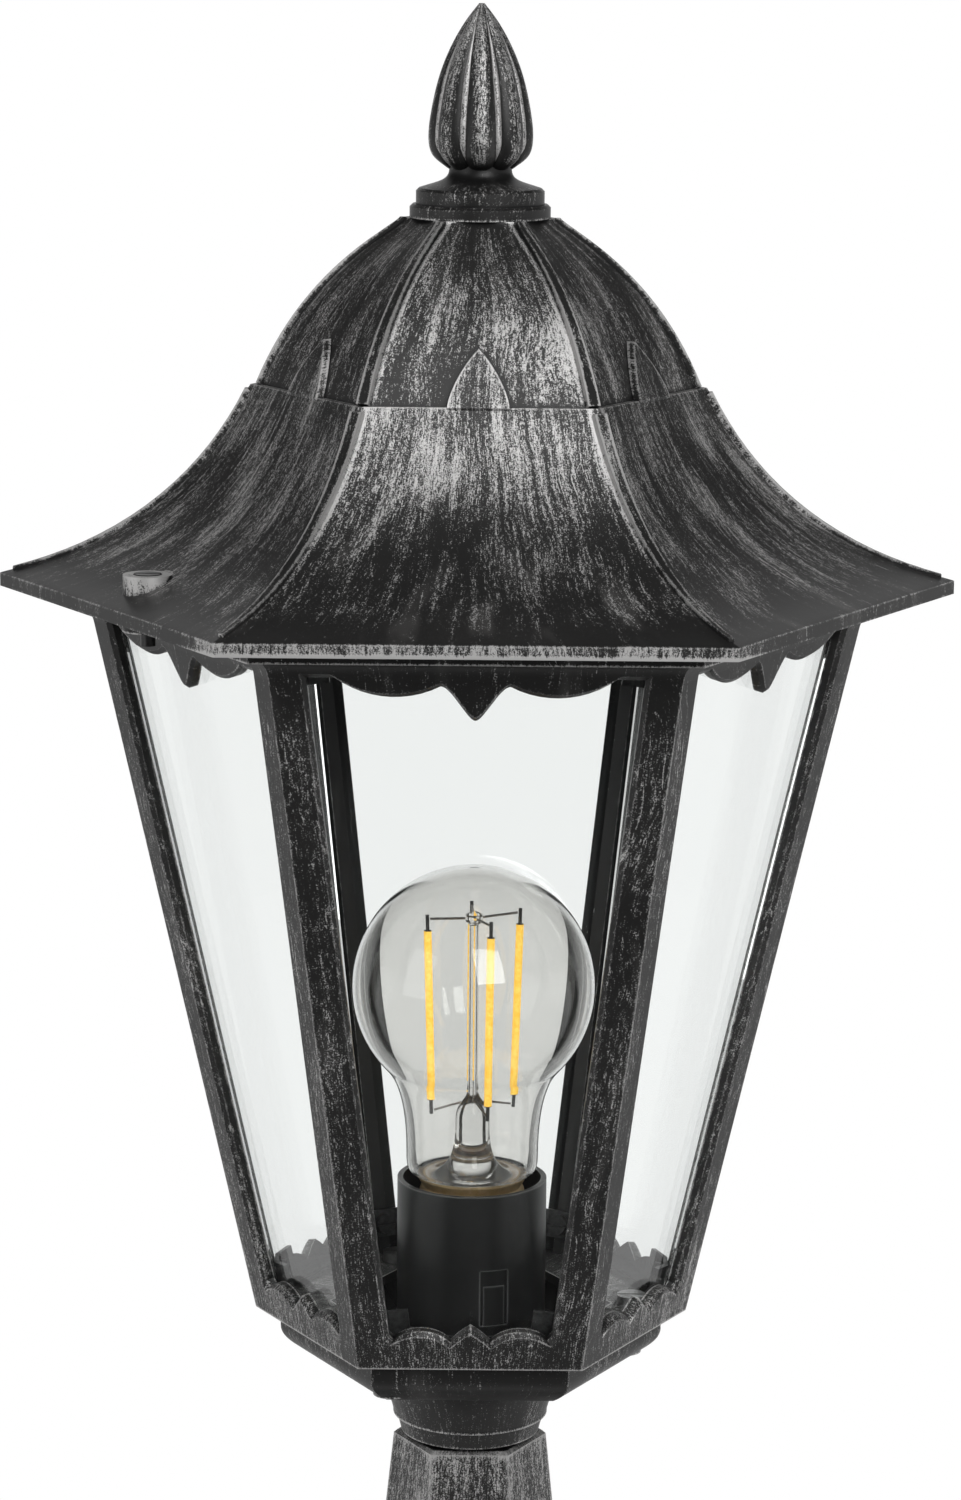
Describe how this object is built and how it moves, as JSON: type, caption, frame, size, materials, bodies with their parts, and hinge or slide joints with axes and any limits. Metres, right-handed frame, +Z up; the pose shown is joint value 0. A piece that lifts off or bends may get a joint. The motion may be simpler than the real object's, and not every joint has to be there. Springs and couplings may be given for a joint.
{
  "type": "outdoor post light",
  "caption": "Hexagonal black and silver outdoor post lantern with clear glass panes, a bell roof with a bud finial, a filament style bulb and a short post on a foot",
  "frame": {"origin": "centre of the underside of the foot", "axes": "+Z up along the post, -Y out of the front pane, +X to the right seen from the front"},
  "size_m": [0.232, 0.201, 0.4753],
  "materials": {
    "cast_metal": "satin black paint with silver worn edges",
    "glass": "clear flat glass",
    "rubber": "matte black",
    "steel": "zinc plated",
    "dark_steel": "blackened",
    "brass": "plain",
    "white_plastic": "matte",
    "live_insulation": "brown insulation",
    "neutral_insulation": "blue insulation",
    "earth_insulation": "green insulation",
    "holder_plastic": "semi gloss black",
    "ceramic": "unglazed",
    "solder": "dull",
    "cap_insulator": "dark vitrite",
    "nickel": "nickel plated",
    "board": "circuit board",
    "bulb_glass": "clear blown glass",
    "phosphor": "yellow phosphor coating",
    "lead_wire": "thin wire"
  },
  "bodies": {
    "lantern": {"cable_grommet": "rubber", "centre_contact": "brass", "earth_lead": "earth_insulation", "earth_screw": "brass", "foot": "cast_metal", "glass_pane_1": "glass", "glass_pane_2": "glass", "glass_pane_3": "glass", "glass_pane_4": "glass", "glass_pane_5": "glass", "glass_pane_6": "glass", "lampholder_base": "holder_plastic", "lampholder_core": "ceramic", "lampholder_shell": "holder_plastic", "lantern_base": "cast_metal", "lantern_cage": "cast_metal", "live_lead": "live_insulation", "lock_nut": "steel", "neck_gasket": "rubber", "neutral_lead": "neutral_insulation", "pane_clip_screws": "dark_steel", "pane_clips": "dark_steel", "post": "cast_metal", "post_nut": "steel", "post_screws": "steel", "post_washer": "steel", "roof_gasket": "rubber", "screw_shell": "brass", "terminal_block": "white_plastic", "terminal_fixing": "steel", "terminal_screws": "brass", "threaded_tube": "steel", "tray_gasket": "rubber", "tray_screws": "steel"},
    "roof": {"roof_skirt": "cast_metal", "roof_dome": "cast_metal", "finial_collar": "cast_metal", "finial": "cast_metal", "finial_stud": "steel", "bridge_bar": "steel", "stud_washer": "steel", "stud_nut": "steel"},
    "screw_left": {"roof_screw_left": "dark_steel"},
    "screw_right": {"roof_screw_right": "dark_steel"},
    "lamp_tip": {"bulb_contact": "solder"},
    "lamp": {"bulb_insulator": "cap_insulator", "bulb_cap": "nickel", "bulb_driver": "board", "bulb_envelope": "bulb_glass", "bulb_stem": "bulb_glass", "bulb_filaments": "phosphor", "bulb_leads": "lead_wire"}
  },
  "joints": [
    {"name": "roof_lift", "type": "slide", "parent": "lantern", "child": "roof", "axis": [0, 0, 1], "range_m": [0, 0.15]},
    {"name": "screw_left_turn", "type": "hinge", "parent": "roof", "child": "screw_left", "pos_m": [-0.07661, -0.04423, 0.3347], "axis": [0, 0, 1], "continuous": true},
    {"name": "screw_right_turn", "type": "hinge", "parent": "roof", "child": "screw_right", "pos_m": [0.07661, 0.04423, 0.3347], "axis": [0, 0, 1], "continuous": true},
    {"name": "lamp_rise", "type": "slide", "parent": "lantern", "child": "lamp_tip", "axis": [0, 0, 1], "range_m": [0, 0.02178]},
    {"name": "lamp_turn", "type": "hinge", "parent": "lamp_tip", "child": "lamp", "pos_m": [0, 0, 0.2], "axis": [0, 0, 1], "range_deg": [0, 2160]}
  ],
  "couplings": [
    {"joint": "lamp_rise", "follows": "lamp_turn", "m_per_rad": 0.00057773}
  ]
}
